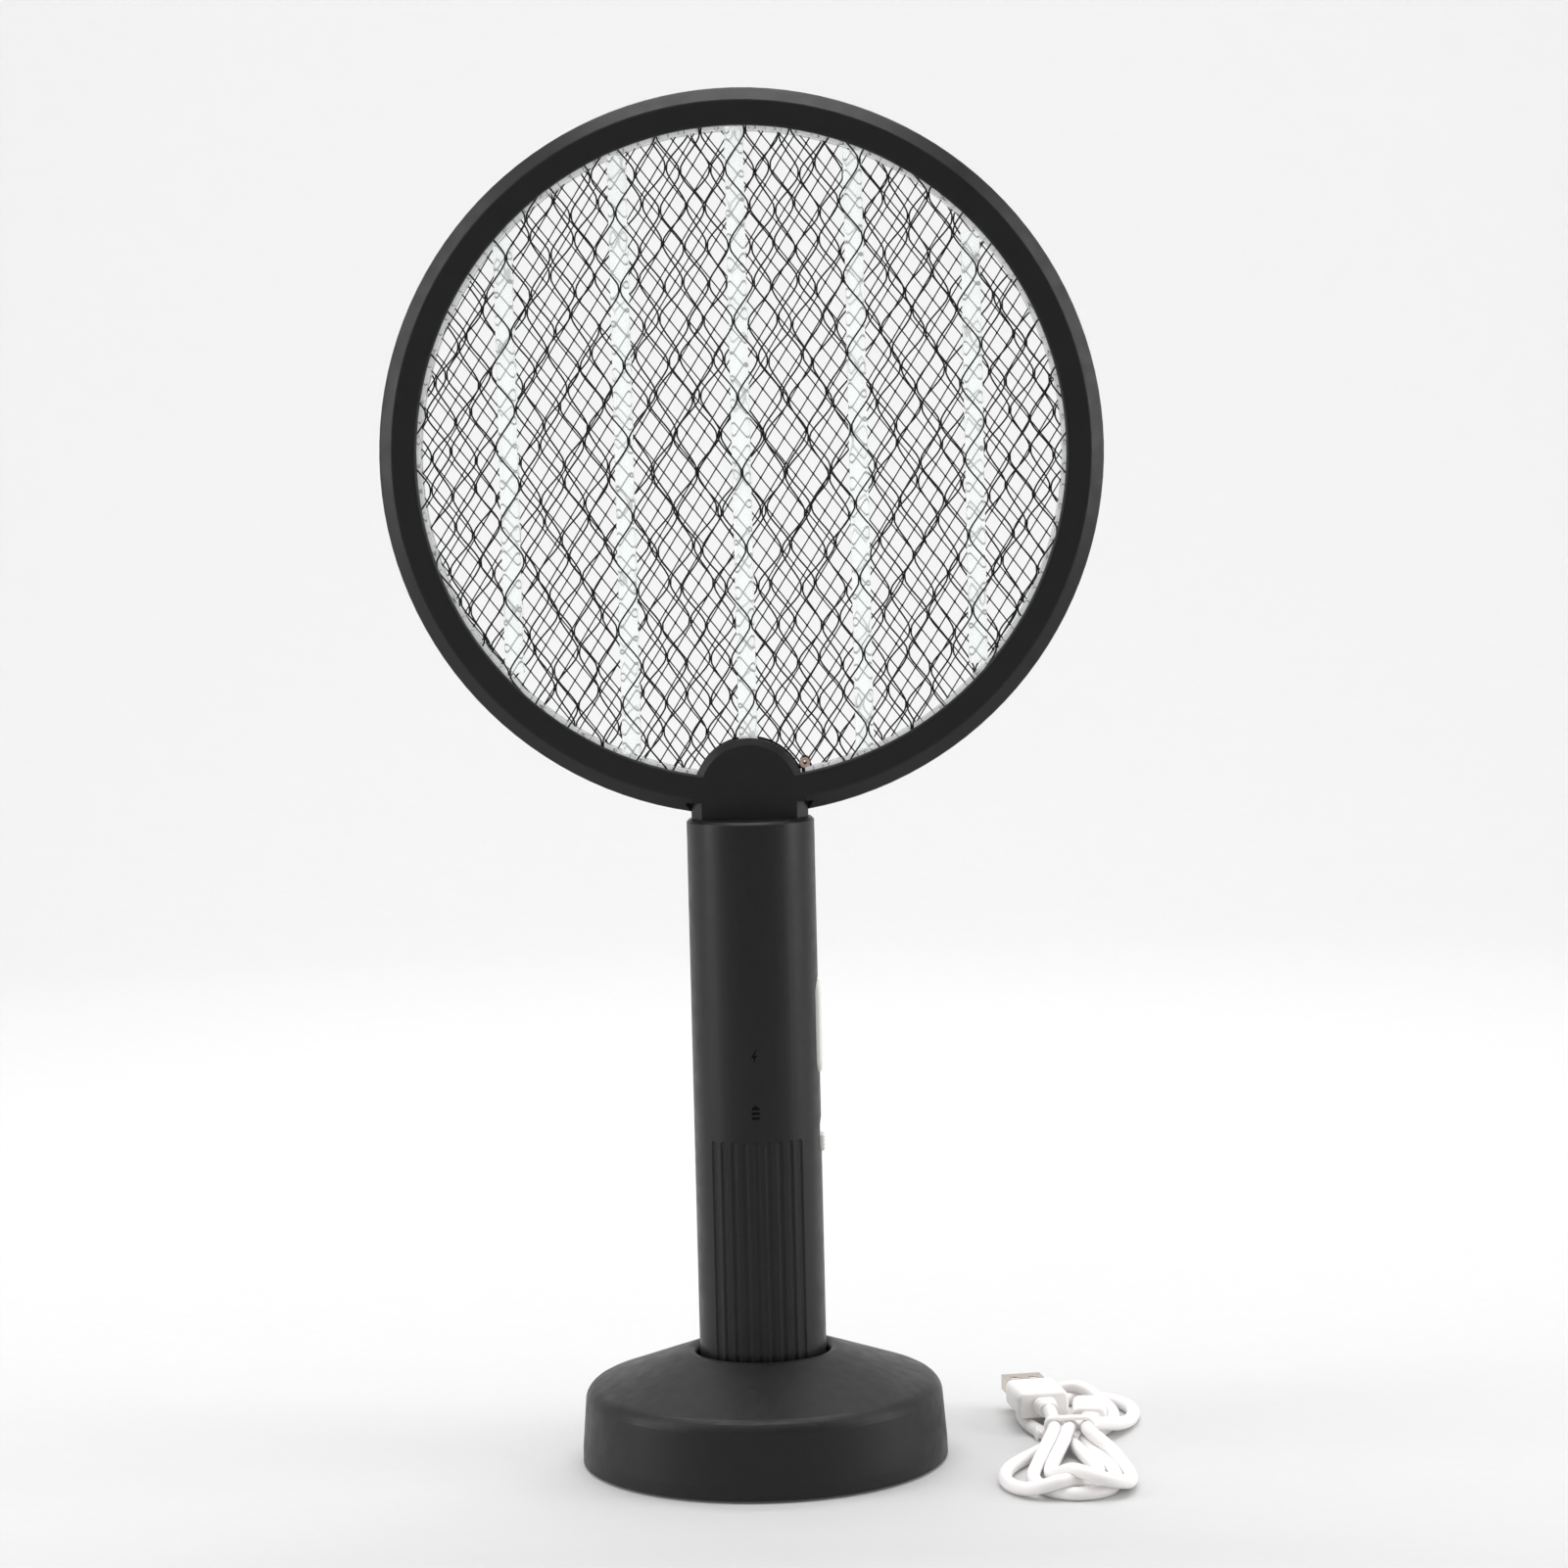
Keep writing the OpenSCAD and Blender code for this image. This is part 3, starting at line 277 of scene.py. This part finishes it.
def loft(rings, place):
    """Vertices and faces over rings of (outline, height), placed by a matrix. Outlines lie in X and Y."""
    verts, faces = [], []
    count = len(rings[0][0])
    for outline, height in rings:
        for x, y in outline:
            verts.append(place @ Vector((x, y, height)))
    for i in range(len(rings) - 1):
        for k in range(count):
            n = (k + 1) % count
            faces.append((i * count + k, i * count + n, (i + 1) * count + n, (i + 1) * count + k))
    faces.append(tuple(range(count - 1, -1, -1)))
    faces.append(tuple((len(rings) - 1) * count + k for k in range(count)))
    return verts, faces


def soft_block(w, h, r, z0, z1, edge):
    """Rings of a block with its end edges rounded by edge."""
    rings = []
    steps = 4
    for k in range(steps + 1):
        a = math.radians(90 * k / steps)
        i = edge * (1 - math.sin(a))
        rings.append((round_rect(w - 2 * i, h - 2 * i, r - i), z0 + edge * (1 - math.cos(a))))
    for k in range(steps + 1):
        a = math.radians(90 * k / steps)
        i = edge * (1 - math.cos(a))
        rings.append((round_rect(w - 2 * i, h - 2 * i, r - i), z1 - edge * (1 - math.sin(a))))
    return rings


# ---------- charging cable ----------

CABLE_D = 4 * MM
CABLE_X = 90 * MM
TIE_W = 3 * MM
# points of the cable in millimetres from the tie: across, away, up
ROUTE = [
    (-5.2, 14.2, 8.4), (-4.7, 10, 8.1), (-4.3, 5, 7.4), (-4.2, 0, 7.1), (-4.6, -6, 6.9), (-6.6, -13, 5.4),
    (-9.4, -21, 2.6), (-12.2, -31, 2), (-13, -41, 2), (-10.6, -50.5, 2), (-5.2, -56, 2), (1.2, -57.4, 2),
    (7.2, -54.4, 2), (10.6, -48, 2), (11.2, -38, 2), (10, -26, 2), (7.6, -15, 2), (5, -7, 2.8),
    (4.2, 0, 3), (5.2, 6.2, 2.6), (9.6, 13.4, 2), (14, 21, 2), (15.6, 31, 2), (15, 42, 2), (11.6, 51, 2.6),
    (5.4, 56.3, 6.2), (-2.2, 56.6, 3.6), (-8.8, 51.6, 2), (-12.3, 42, 2), (-12.4, 30, 2), (-9.6, 17, 2),
    (-5.6, 7, 2.6), (-4.2, 0, 3), (-6.4, -6, 2.6), (-12.2, -14, 2), (-18, -24, 2), (-21.4, -36, 2),
    (-19.8, -47, 2), (-14, -54.6, 2.2), (-6.4, -57, 5.6), (0.6, -52.6, 5.2), (4.8, -45, 2), (6.9, -34, 2),
    (5.6, -22, 2), (2, -9, 2.6), (0, 0, 3), (-1.8, 9, 2.4), (-4, 20, 2), (-4.4, 32, 2), (-3.8, 43, 2),
    (-1.2, 51, 2), (4.6, 55.6, 2), (12, 54.8, 2), (18.4, 49.6, 2), (22, 40.6, 2), (21.4, 30, 2),
    (18.2, 20.4, 2.3), (12.6, 11, 4.6), (6.8, 5, 6.7), (4.2, 0, 7.1), (5.6, -7, 6.8), (10, -15, 4.2),
    (13.8, -25, 2), (15.4, -37, 2), (14.6, -48, 2.4), (10.6, -55.6, 5.2), (4, -57.8, 6.6),
    (-2.6, -54, 8.2), (-6.4, -46.4, 4.6), (-7.8, -36, 2), (-6.8, -24, 2), (-3.6, -12, 4.6),
    (-0.6, -4.5, 6.9), (0.2, 1.5, 7.1), (2.2, 7, 6.3), (5.4, 11.6, 4.6), (7.2, 15.9, 3.6)]


def curve_through(points):
    """Centripetal Catmull-Rom curve through the points."""
    per_span = 8
    p = np.array(points, float)
    p = np.vstack([2 * p[0] - p[1], p, 2 * p[-1] - p[-2]])
    out = []
    for i in range(1, len(p) - 2):
        q = p[i - 1:i + 3]
        t = np.concatenate([[0], np.cumsum(np.sqrt(np.linalg.norm(np.diff(q, axis=0), axis=1)))])
        for s in np.linspace(t[1], t[2], per_span, endpoint=False):
            a = [((t[k + 1] - s) * q[k] + (s - t[k]) * q[k + 1]) / (t[k + 1] - t[k]) for k in range(3)]
            b = [((t[k + 2] - s) * a[k] + (s - t[k]) * a[k + 1]) / (t[k + 2] - t[k]) for k in range(2)]
            out.append(((t[2] - s) * b[0] + (s - t[1]) * b[1]) / (t[2] - t[1]))
    out.append(p[-2])
    return np.array(out)


def even(points, count):
    """The same line with evenly spaced points."""
    s = np.concatenate([[0], np.cumsum(np.linalg.norm(np.diff(points, axis=0), axis=1))])
    at = np.linspace(0, s[-1], count)
    return np.array([np.interp(at, s, points[:, k]) for k in range(3)]).T


def eased(points, rounds):
    """The line with its bends softened. Its ends stay."""
    for _ in range(rounds):
        points = points.copy()
        points[1:-1] = (points[:-2] + 2 * points[1:-1] + points[2:]) / 4
    return points


def settled(points, d, floor):
    """Runs that would share the same place are pushed apart until they lie on or beside each other."""
    count, rounds = 460, 60
    start = even(eased(curve_through(points), 14), count)
    line = start.copy()
    at_tie = np.abs(start[:, 1]) < 1.0
    step = np.linalg.norm(np.diff(start, axis=0), axis=1).mean()
    order = np.arange(count)
    apart = np.abs(order[:, None] - order[None, :]) > 3.5 * d / step
    for _ in range(rounds):
        ends = line[[0, 1, 2, -3, -2, -1]].copy()
        line[1:-1] = 0.7 * line[1:-1] + 0.15 * (line[:-2] + line[2:])
        gap = line[:, None] - line[None, :]
        dist = np.linalg.norm(gap, axis=2)
        push = np.where((dist < 1.01 * d) & apart, (1.01 * d - dist) / 2 / np.maximum(dist, 1e-6), 0)
        line = line + 0.8 * (gap * push[:, :, None]).sum(1)
        line = line + 0.04 * (start - line)
        line[at_tie] += 0.3 * (start[at_tie] - line[at_tie])
        line[:, 2] = np.maximum(line[:, 2], floor)
        line[[0, 1, 2, -3, -2, -1]] = ends
    line = eased(line, 8)
    line[:, 2] = np.maximum(line[:, 2], floor)
    return line


cable_mm = settled(ROUTE, CABLE_D / MM, CABLE_D / MM / 2)
cable_line = cable_mm * MM + np.array([CABLE_X, 0, 0])
verts, faces = tube(cable_line, CABLE_D / 2, sides=20)
cable = add_piece("cable", verts, faces, "charging_cable", "white_cable",
                  replaces=("cable_hank_lower", "cable_hank_upper"))


def plug_place(base, turn):
    """Matrix of a plug: its length runs along local Z, its width along local X."""
    at = Vector((CABLE_X, 0, 0)) + base
    return (Matrix.Translation(at) @ Matrix.Rotation(math.radians(turn), 4, "Z")
            @ Matrix.Rotation(math.radians(-90), 4, "X"))


def relief_rings(w, h, r, length):
    """Rings of a tapered strain relief with three grooves."""
    rings = []
    steps = 24
    for k in range(steps + 1):
        t = k / steps
        fat = 0.76 + 0.24 * t
        groove = 0.35 * MM if k % 8 in (4, 5) else 0
        rings.append((round_rect(w * fat - 2 * groove, h * fat - 2 * groove, r * fat), length * t))
    return rings


usb_turn = plug_place(Vector(ROUTE[0]) * MM, 10)
micro_turn = plug_place(Vector(ROUTE[-1]) * MM, -3)

grip = soft_block(15.6 * MM, 8 * MM, 2.2 * MM, 6.2 * MM, 25 * MM, 1.1 * MM)
relief = relief_rings(7.6 * MM, 5.4 * MM, 2.4 * MM, 6.6 * MM)
usb_grip = add_piece("usb_grip", *merged([loft(relief, usb_turn), loft(grip, usb_turn)]),
                     "charging_cable", "white_plug", replaces=("usb_plug_grip",))
grip = soft_block(10.4 * MM, 7 * MM, 2.4 * MM, 5.8 * MM, 22 * MM, 0.9 * MM)
relief = relief_rings(6.6 * MM, 5 * MM, 2.2 * MM, 6.2 * MM)
micro_grip = add_piece("micro_grip", *merged([loft(relief, micro_turn), loft(grip, micro_turn)]),
                       "charging_cable", "white_plug", replaces=("micro_plug_grip",))


def tie_band():
    """Rubber band of the tie: a rounded rectangular loop around the cable's six runs."""
    outer = round_rect(14.8 * MM, 10.1 * MM, 2.6 * MM, 8)
    inner = round_rect(12.8 * MM, 8.1 * MM, 1.8 * MM, 8)
    count = len(outer)
    rings = []
    for y, grow in ((-0.5, -0.25), (-0.42, 0), (0.42, 0), (0.5, -0.25)):
        rings.append([(x * (1 + grow * 0.04), y * TIE_W, z * (1 + grow * 0.04)) for x, z in outer])
    for y in (0.5, -0.5):
        rings.append([(x, y * TIE_W, z) for x, z in inner])
    verts = [(CABLE_X + x, y, 5.05 * MM + z) for ring in rings for x, y, z in ring]
    faces = []
    for i in range(len(rings)):
        j = (i + 1) % len(rings)
        for k in range(count):
            n = (k + 1) % count
            faces.append((i * count + k, i * count + n, j * count + n, j * count + k))
    return verts, faces


def tie_knot():
    """Twisted end of the tie at its left side."""
    pts, radii = [], []
    for k in range(15):
        t = k / 14
        pts.append((CABLE_X - (7.2 + 3.4 * t) * MM, 0.0, 5 * MM))
        radii.append((1.5 + 0.55 * math.cos(9 * t) - 0.9 * max(0, t - 0.8) / 0.2) * MM)
    return tube(pts, radii, sides=20)


tie = add_piece("tie", *merged([tie_band(), tie_knot()]), "charging_cable", "white_cable",
                replaces=("cable_tie",))


# ---------- nets and clear spacers ----------

HEAD = Vector((0, 0, 0.296))
NET_R = 95.6 * MM          # the wires end under the ring
PITCH = 6.45 * MM          # distance between the coarse net's wires
WAVE = 21.8 * MM           # height of one wave of a wire
WIRE = 0.5 * MM
SWING = (PITCH - WIRE) / 2
BOND = 2.3 * MM            # length along which two wires lie side by side
FINE_ACROSS = 5.1 * MM     # width and height of the fine net's cells, and its wire
FINE_UP = 7.3 * MM
FINE_WIRE = 0.37 * MM
BAR_W = 5.4 * MM           # width of a clear bar
BAR_PITCH = 34 * MM
OUTER_BARS = 67.6 * MM     # the outermost bars' distance from the middle
SPACER_IN = 93 * MM        # inner radius of the clear ring, and half the width of its gap at the hub
SPACER_GAP = 15 * MM


def middle_y(node):
    """Middle of a node's thickness."""
    lo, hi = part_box(node)
    return (lo.y + hi.y) / 2


def wave(t):
    """Side position, from -1 to 1, of a wire at fraction t of its wave: flat bonds joined by sloping runs."""
    flat = BOND / WAVE
    t = t % 1.0
    if t > 0.5:
        return -wave(t - 0.5)
    rise = (t - flat / 2) / (0.5 - flat)
    rise = min(1.0, max(0.0, rise))
    line = 1 - 2 * rise
    eased_line = math.cos(math.pi * rise)
    return 0.72 * line + 0.28 * eased_line


def wavy_net(y, turn):
    """Wavy upright wires, each touching its neighbours by turns."""
    step = 1.1 * MM
    parts = []
    cos_t, sin_t = math.cos(math.radians(turn)), math.sin(math.radians(turn))
    count = int(NET_R / PITCH) + 1
    for k in range(-count, count + 1):
        x0 = (k + 0.5) * PITCH
        reach = NET_R ** 2 - x0 ** 2
        if reach <= 0:
            continue
        top = math.sqrt(reach)
        run = []
        n = int(2 * top / step) + 1
        for i in range(n + 1):
            z = -top + 2 * top * i / n
            x = x0 + SWING * wave(z / WAVE + 0.25) * (1 if k % 2 else -1)
            if x * x + z * z > NET_R ** 2:
                continue
            run.append((x * cos_t - z * sin_t, y, HEAD.z + x * sin_t + z * cos_t))
        if len(run) > 3:
            parts.append(tube(run, WIRE / 2, 6))
    return merged(parts)


def fine_net(y, turn):
    """Two families of straight wires with a bead of solder at each crossing."""
    across, up, wire = FINE_ACROSS, FINE_UP, FINE_WIRE
    parts = []
    cos_t, sin_t = math.cos(math.radians(turn)), math.sin(math.radians(turn))

    def at(x, z, dy=0.0):
        return (x * cos_t - z * sin_t, y + dy, HEAD.z + x * sin_t + z * cos_t)

    lean = math.hypot(across, up)
    for side in (-1, 1):
        dx, dz = side * across / lean, up / lean
        for k in range(-60, 61):
            x0 = k * across
            middle = -x0 * dx
            half = NET_R ** 2 - (x0 * dz) ** 2
            if half <= 0:
                continue
            half = math.sqrt(half)
            run = []
            for i in range(13):
                s = middle - half + 2 * half * i / 12
                run.append(at(x0 + s * dx, s * dz, side * wire * 0.28))
            parts.append(tube(run, wire / 2, 6))
    rows = int(NET_R / up) + 1
    verts, faces = [], []
    for j in range(-2 * rows, 2 * rows + 1):
        for i in range(-40, 41):
            x = (i + (0.5 if j % 2 else 0)) * across
            z = j * up / 2
            if x * x + z * z > (NET_R - 1 * MM) ** 2:
                continue
            r = wire * random.uniform(0.85, 1.15)
            start = len(verts)
            for ox, oy, oz in ((r, 0, 0), (-r, 0, 0), (0, 0.5 * r, 0), (0, -0.5 * r, 0),
                               (0, 0, 1.15 * r), (0, 0, -1.15 * r)):
                px, py, pz = at(x, z)
                verts.append((px + ox, py + oy, pz + oz))
            for f in ((0, 4, 2), (4, 1, 2), (1, 5, 2), (5, 0, 2),
                      (4, 0, 3), (1, 4, 3), (5, 1, 3), (0, 5, 3)):
                faces.append(tuple(start + q for q in f))
    parts.append((verts, faces))
    return merged(parts)


add_piece("wavy_net_front", *wavy_net(middle_y("net_front"), 1.9), "swatter", "black_net",
          replaces=("net_front",))
add_piece("wavy_net_rear", *wavy_net(middle_y("net_rear"), -4.0), "swatter", "black_net",
          replaces=("net_rear",))
add_piece("fine_net", *fine_net(middle_y("net_middle"), 3.0), "swatter", "brown_net",
          replaces=("net_middle",))


def clear_spacer(node):
    """Milky clear ring with five rounded upright bars."""
    lo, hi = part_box(node)
    mid, depth = (lo.y + hi.y) / 2, hi.y - lo.y
    parts = []
    ring_out = (hi.x - lo.x) / 2
    section = round_rect(ring_out - SPACER_IN, depth, 0.7 * MM, 3)
    count = 180
    notch = math.asin(SPACER_GAP / SPACER_IN)
    verts, faces = [], []
    for i in range(count + 1):
        a = -math.pi / 2 + notch + (2 * math.pi - 2 * notch) * i / count
        for u, v in section:
            r = (SPACER_IN + ring_out) / 2 + u
            verts.append((r * math.cos(a), mid + v, HEAD.z + r * math.sin(a)))
    n = len(section)
    for i in range(count):
        for k in range(n):
            q = (k + 1) % n
            faces.append((i * n + k, i * n + q, (i + 1) * n + q, (i + 1) * n + k))
    faces.append(tuple(range(n)))
    faces.append(tuple(count * n + k for k in range(n - 1, -1, -1)))
    parts.append((verts, faces))
    for x in (-OUTER_BARS, -BAR_PITCH, 0, BAR_PITCH, OUTER_BARS):
        half = math.sqrt((SPACER_IN + 0.8 * MM) ** 2 - (abs(x) + BAR_W / 2) ** 2)
        outline = round_rect(BAR_W, depth - 0.6 * MM, 1.2 * MM, 5)
        place = Matrix.Translation((x, mid, HEAD.z))
        parts.append(loft([(outline, -half), (outline, half)], place))
    return merged(parts)


for name, node in (("clear_bars_front", "spacer_front"), ("clear_bars_rear", "spacer_rear")):
    add_piece(name, *clear_spacer(node), "swatter", "clear_plastic", replaces=(node,))


# ---------- button and switch knob ----------

BUTTON_L = 27.5 * MM
BUTTON_W = 9 * MM
BUTTON_R = 4.5 * MM


def side_place(x, z):
    """Local Z points out of the handle's right side, and local X runs up it."""
    return Matrix.Translation((x, 0, z)) @ Matrix(((0, 0, 1, 0), (0, 1, 0, 0), (1, 0, 0, 0), (0, 0, 0, 1)))


def button_pad():
    """Stadium pad with a domed rim, over the CAD button's own face."""
    lo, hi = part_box("push_button")
    z = (lo.z + hi.z) / 2
    rings = []
    for inset, depth in ((0, 2.6), (0, 1), (0.12, 0.65), (0.4, 0.35), (0.85, 0.15), (1.5, 0.05), (3, 0)):
        i = inset * MM
        rings.append((round_rect(BUTTON_L - 2 * i, BUTTON_W - 2 * i, BUTTON_R - i, 10), -depth * MM))
    return loft(rings, side_place(hi.x, z))


def button_under():
    """Flange and plunger behind the pad, inside the handle."""
    lo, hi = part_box("push_button")
    z = (lo.z + hi.z) / 2
    flange = soft_block(BUTTON_L + 2 * MM, BUTTON_W + 1.4 * MM, BUTTON_R + 0.7 * MM, 13.5 * MM, 14.7 * MM,
                        0.2 * MM)
    outline = round_rect(BUTTON_L, BUTTON_W, BUTTON_R, 10)
    neck = [(outline, 14.6 * MM), (outline, 17.4 * MM)]
    place = side_place(0, z)
    plunger = tube([(lo.x, 0, z), (lo.x + 0.1 * MM, 0, z), (13.6 * MM, 0, z)], 1.5 * MM, 20)
    return merged([loft(flange, place), loft(neck, place), plunger])


add_piece("button", *merged([button_pad(), button_under()]), "push_button", "control_white",
          replaces=("push_button",))


def knob():
    """Ridged thumb pad on its stem."""
    lo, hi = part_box("slide_switch_knob")
    z = (lo.z + hi.z) / 2
    height = hi.z - lo.z
    parts = [loft(soft_block(2.4 * MM, 2.4 * MM, 0.3 * MM, lo.x, 17.8 * MM, 0.1 * MM), side_place(0, z)),
             loft(soft_block(height, 5.4 * MM, 0.7 * MM, 17.65 * MM, hi.x - 0.35 * MM, 0.25 * MM),
                  side_place(0, z))]
    ridge_pitch = 1.15 * MM
    for k in (-1.5, -0.5, 0.5, 1.5):
        ridge = soft_block(0.62 * MM, 4.6 * MM, 0.3 * MM, hi.x - 0.6 * MM, hi.x, 0.28 * MM)
        parts.append(loft(ridge, side_place(0, z + k * ridge_pitch)))
    return merged(parts)


add_piece("knob", *knob(), "slide_switch_knob", "control_white", replaces=("slide_switch_knob",))


# ---------- floor and light ----------

def cyclorama():
    """Pale floor that curves up into a wall all round."""
    flat, bend, height, turns = 1.3, 1.1, 3.6, 96
    profile = [(0.5, 0), (flat - 0.01, 0), (flat, 0)]
    profile += [(flat + bend * math.sin(math.radians(a)), bend - bend * math.cos(math.radians(a)))
                for a in range(6, 91, 6)]
    profile.append((flat + bend, height))
    verts, faces = [], [tuple(range(turns))]
    for r, z in profile:
        for k in range(turns):
            a = 2 * math.pi * k / turns
            verts.append((r * math.cos(a), r * math.sin(a), z))
    for i in range(len(profile) - 1):
        for k in range(turns):
            q = (k + 1) % turns
            faces.append((i * turns + k, (i + 1) * turns + k, (i + 1) * turns + q, i * turns + q))
    mesh = bpy.data.meshes.new("floor")
    mesh.from_pydata(verts, [], faces)
    mesh.shade_smooth()
    floor = bpy.data.objects.new("floor", mesh)
    bpy.context.scene.collection.objects.link(floor)
    mesh.materials.append(finish_of("floor_paper", (196, 196, 196), 0.7, grain=60, bump=0.01, tone=0.01,
                                    wear=0.0, glow=0.05))


def softbox(name, at, aim, size, power):
    """Rectangular area light at one place, aimed at another."""
    data = bpy.data.lights.new(name, "AREA")
    data.shape = "RECTANGLE"
    data.size, data.size_y = size
    data.energy = power
    lamp = bpy.data.objects.new(name, data)
    bpy.context.scene.collection.objects.link(lamp)
    lamp.location = at
    lamp.rotation_euler = (Vector(aim) - Vector(at)).to_track_quat("-Z", "Y").to_euler()


cyclorama()
softbox("left_strip", (-1.2, -0.25, 0.7), (0, 0, 0.25), (0.6, 1.4), 10.5)
softbox("right_strip", (1.25, -0.15, 0.65), (0, 0, 0.22), (0.6, 1.4), 10.5)
softbox("top_panel", (0.0, 0.15, 1.7), (0, 0, 0.2), (1.4, 1.2), 24)
softbox("front_fill", (-0.5, -2.0, 1.7), (0, 0, 0.2), (1.2, 1.0), 2.5)
softbox("wall_wash", (0.0, 0.75, 1.7), (0, 2.3, 0.55), (2.4, 0.5), 34)

world = bpy.data.worlds.new("studio")
world.use_nodes = True
world.node_tree.nodes["Background"].inputs["Color"].default_value = (1, 1, 1, 1)
world.node_tree.nodes["Background"].inputs["Strength"].default_value = 0.12
bpy.context.scene.world = world
bpy.context.scene.view_settings.view_transform = "Standard"
